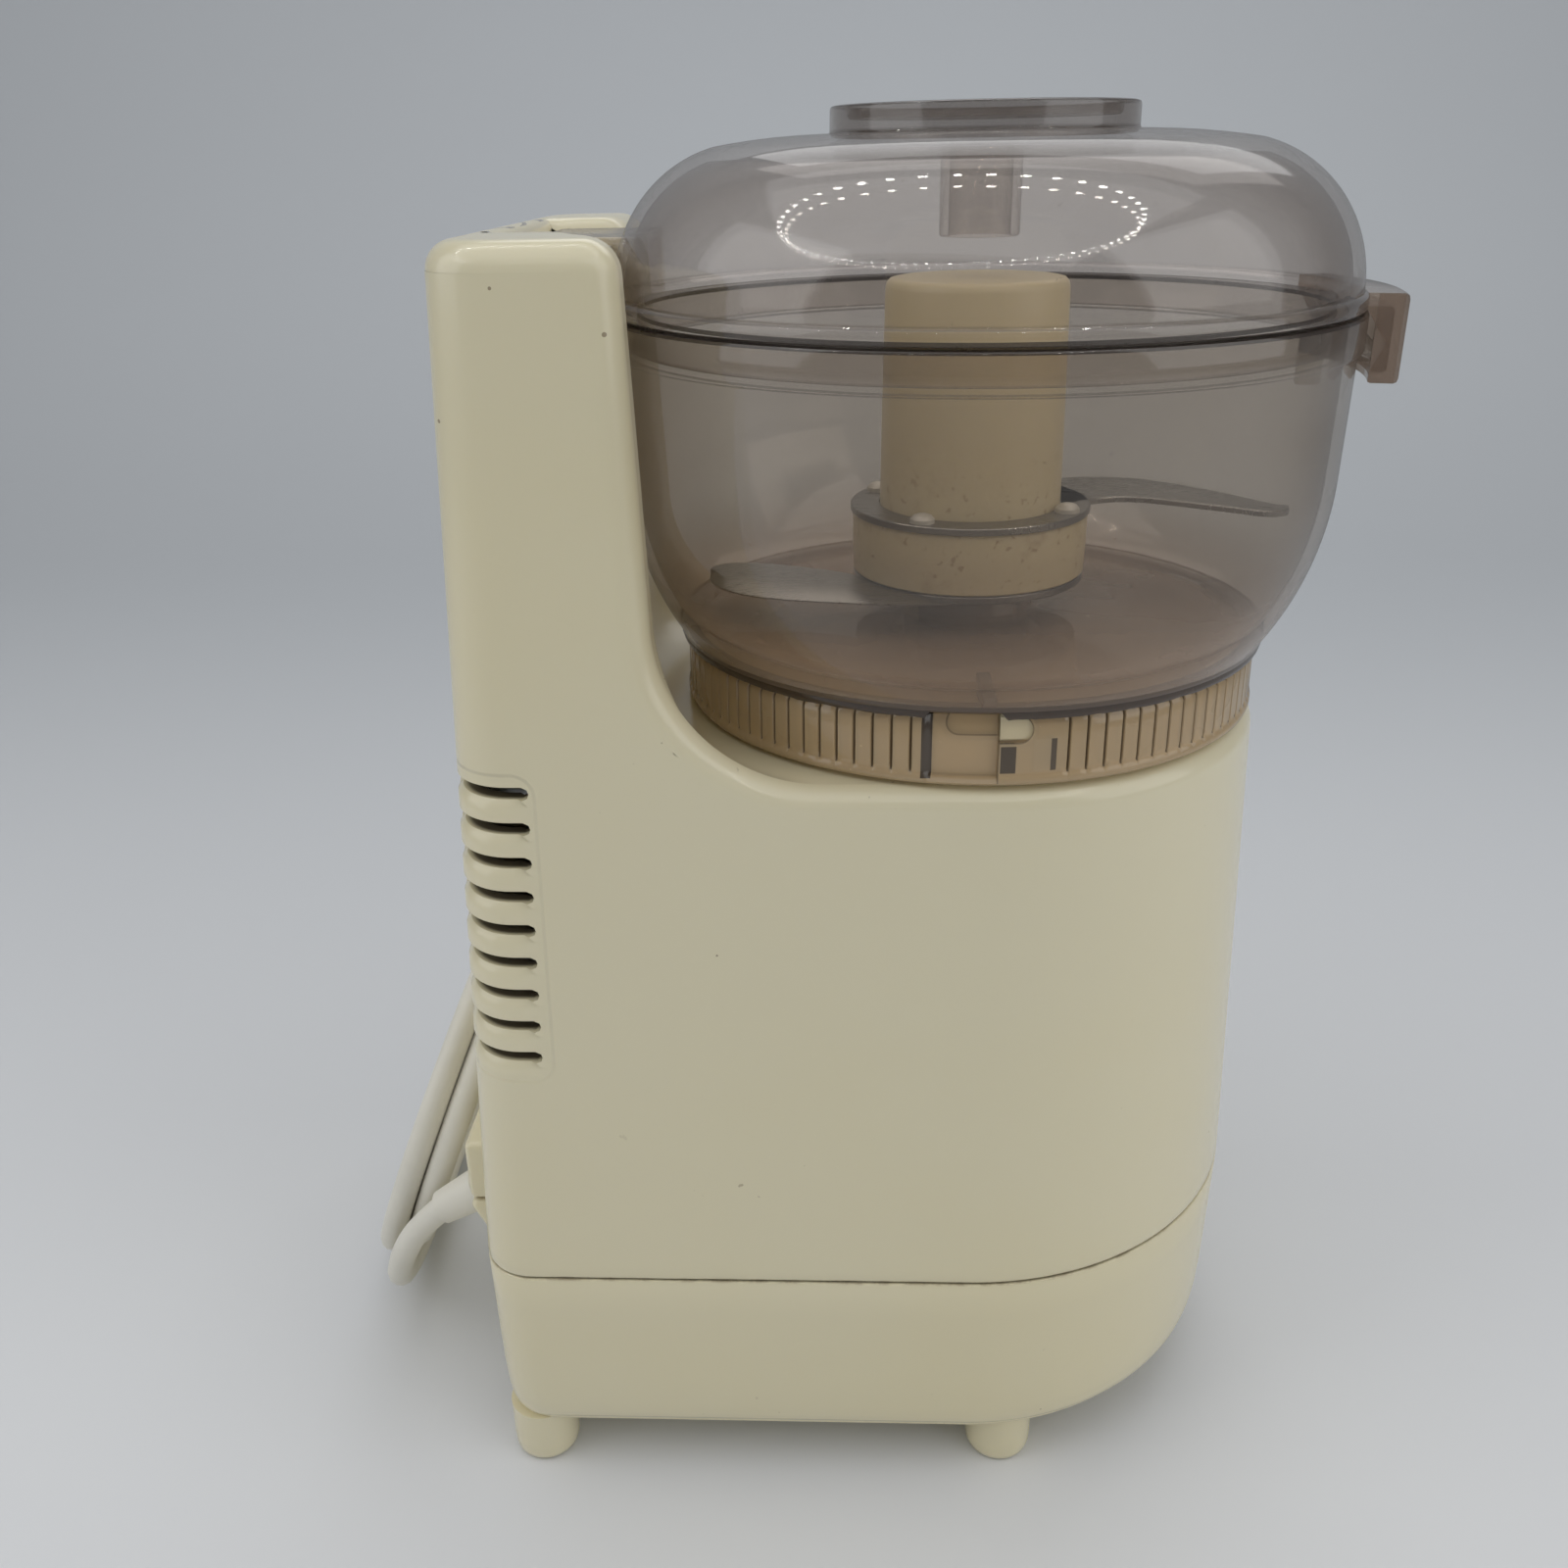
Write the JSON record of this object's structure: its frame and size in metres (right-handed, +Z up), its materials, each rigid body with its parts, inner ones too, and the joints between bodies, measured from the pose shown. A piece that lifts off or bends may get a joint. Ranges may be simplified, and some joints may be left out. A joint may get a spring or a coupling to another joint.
{
  "type": "food processor",
  "caption": "Compact food processor with a belt-driven blade in a clear bowl, domed lid locking into a tall switch column, and a wound mains cord behind.",
  "frame": {"origin": "on the floor under the middle of the machine's bounding box, cord left out", "axes": "+Z up, +X from the column at the rear to the nose and front hook, +Y to the far side of the machine as seen from -Y"},
  "size_m": [0.2381, 0.1699, 0.292],
  "materials": {
    "cream_plastic": "moulded gloss",
    "smoke_clear": "transparent, lightly scratched",
    "hub_plastic": "moulded, slightly stained",
    "blade_steel": "brushed, ground edge",
    "zinc_steel": "zinc plated",
    "lamination_steel": "dull",
    "cast_alloy": "as cast",
    "copper_winding": "varnished",
    "sintered_bronze": "oiled",
    "contact_brass": "plain",
    "carbon": "matte",
    "belt_rubber": "matte",
    "nylon_white": "satin",
    "dark_plastic": "matte",
    "cord_white": "soft satin"
  },
  "bodies": {
    "housing": {"upper_housing": "cream_plastic", "base_tray": "cream_plastic", "feet": "cream_plastic", "base_screws": "zinc_steel", "chassis_plate": "zinc_steel", "chassis_screws": "zinc_steel", "stator_core": "lamination_steel", "field_coils": "copper_winding", "motor_end_bell": "cast_alloy", "motor_yoke": "cast_alloy", "motor_studs": "zinc_steel", "brush_holders": "dark_plastic", "carbon_brushes": "carbon", "motor_bushes": "sintered_bronze", "drive_belt": "belt_rubber", "spindle_bush_upper": "sintered_bronze", "spindle_bush_lower": "sintered_bronze", "switch_body": "dark_plastic", "switch_contacts": "contact_brass", "terminal_block": "nylon_white", "internal_leads": "cord_white", "strain_relief": "cord_white", "cord": "cord_white", "cord_coil": "cord_white", "cord_tail": "cord_white", "cord_tie": "cord_white", "plug_body": "cord_white", "plug_prongs": "contact_brass"},
    "rotor": {"motor_shaft": "zinc_steel", "rotor_core": "lamination_steel", "commutator": "copper_winding", "cooling_fan": "nylon_white", "motor_pulley": "cast_alloy"},
    "spindle": {"spindle_shaft": "zinc_steel", "spindle_coupler": "nylon_white", "spindle_pulley": "nylon_white"},
    "blade": {"blade_hub": "hub_plastic", "upper_blade": "blade_steel", "lower_blade": "blade_steel", "blade_rivets": "blade_steel"},
    "bowl": {"bowl": "smoke_clear"},
    "lid": {"lid": "smoke_clear"},
    "slider": {"switch_slider": "nylon_white", "contact_bridge": "contact_brass", "slider_spring": "zinc_steel"}
  },
  "joints": [
    {"name": "spindle_spin", "type": "hinge", "parent": "housing", "child": "spindle", "pos_m": [0.01685, 0, 0.05], "axis": [0, 0, 1], "continuous": true},
    {"name": "motor_spin", "type": "hinge", "parent": "housing", "child": "rotor", "pos_m": [-0.04515, 0, 0.05], "axis": [0, 0, 1], "continuous": true},
    {"name": "blade_lift", "type": "slide", "parent": "spindle", "child": "blade", "axis": [0, 0, 1], "range_m": [0, 0.0069]},
    {"name": "bowl_turn", "type": "hinge", "parent": "housing", "child": "bowl", "pos_m": [0.01685, 0, 0.19], "axis": [0, 0, 1], "range_deg": [0, 9.2]},
    {"name": "lid_turn", "type": "hinge", "parent": "housing", "child": "lid", "pos_m": [0.01685, 0, 0.256], "axis": [0, 0, 1], "range_deg": [-4.5, 5]},
    {"name": "interlock_slide", "type": "slide", "parent": "housing", "child": "slider", "axis": [0, 1, 0], "range_m": [-0.0073, 0.0066]}
  ],
  "couplings": [
    {"joint": "motor_spin", "follows": "spindle_spin", "ratio": 4},
    {"joint": "interlock_slide", "follows": "lid_turn", "m_per_rad": -0.082}
  ]
}
